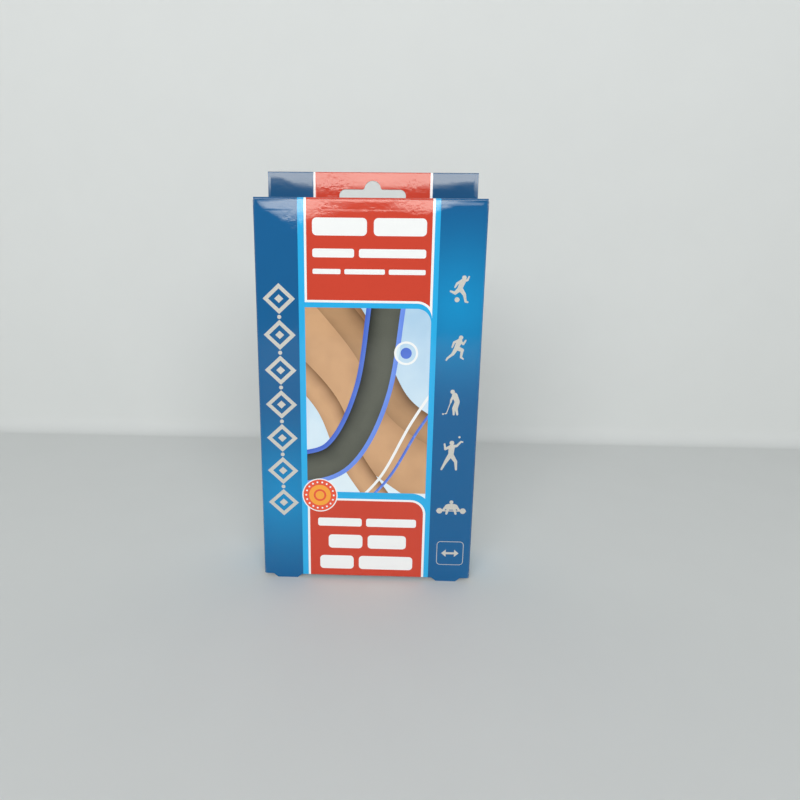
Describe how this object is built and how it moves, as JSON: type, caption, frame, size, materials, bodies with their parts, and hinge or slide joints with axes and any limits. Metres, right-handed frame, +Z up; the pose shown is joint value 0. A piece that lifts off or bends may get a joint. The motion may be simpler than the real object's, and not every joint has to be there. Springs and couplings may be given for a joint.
{
  "type": "retail carton with hang tab",
  "caption": "Slim upright folding carton of printed board, standing on low feet, with a hinged tuck-in top lid, dust flaps and a folded hang tab with a euro slot.",
  "frame": {"origin": "on the ground, below the middle of the carton", "axes": "+Z up, -Y out of the front panel, +X to the right as seen from the front"},
  "size_m": [0.12, 0.036, 0.2318],
  "materials": {
    "printed_board": "gloss-laminated printed carton board",
    "plain_board": "unprinted carton board"
  },
  "bodies": {
    "carton": {"carton_sleeve": "printed_board", "bottom_lid": "printed_board", "bottom_dust_left": "plain_board", "bottom_dust_right": "plain_board"},
    "lid": {"top_lid": "printed_board"},
    "tuck": {"top_tuck": "printed_board"},
    "dust_left": {"top_dust_left": "plain_board"},
    "dust_right": {"top_dust_right": "plain_board"}
  },
  "joints": [
    {"name": "lid_hinge", "type": "hinge", "parent": "carton", "child": "lid", "pos_m": [0, -0.018, 0.2118], "axis": [1, 0, 0], "range_deg": [0, 135]},
    {"name": "tuck_fold", "type": "hinge", "parent": "lid", "child": "tuck", "pos_m": [0, 0.0154, 0.213], "axis": [1, 0, 0], "range_deg": [0, 38]},
    {"name": "dust_left_fold", "type": "hinge", "parent": "carton", "child": "dust_left", "pos_m": [-0.06, 0, 0.211], "axis": [0, -1, 0], "range_deg": [0, 38]},
    {"name": "dust_right_fold", "type": "hinge", "parent": "carton", "child": "dust_right", "pos_m": [0.06, 0, 0.211], "axis": [0, 1, 0], "range_deg": [0, 38]}
  ],
  "couplings": [
    {"joint": "tuck_fold", "follows": "lid_hinge", "ratio": 0.25},
    {"joint": "dust_left_fold", "follows": "lid_hinge", "ratio": 0.25},
    {"joint": "dust_right_fold", "follows": "lid_hinge", "ratio": 0.25}
  ]
}
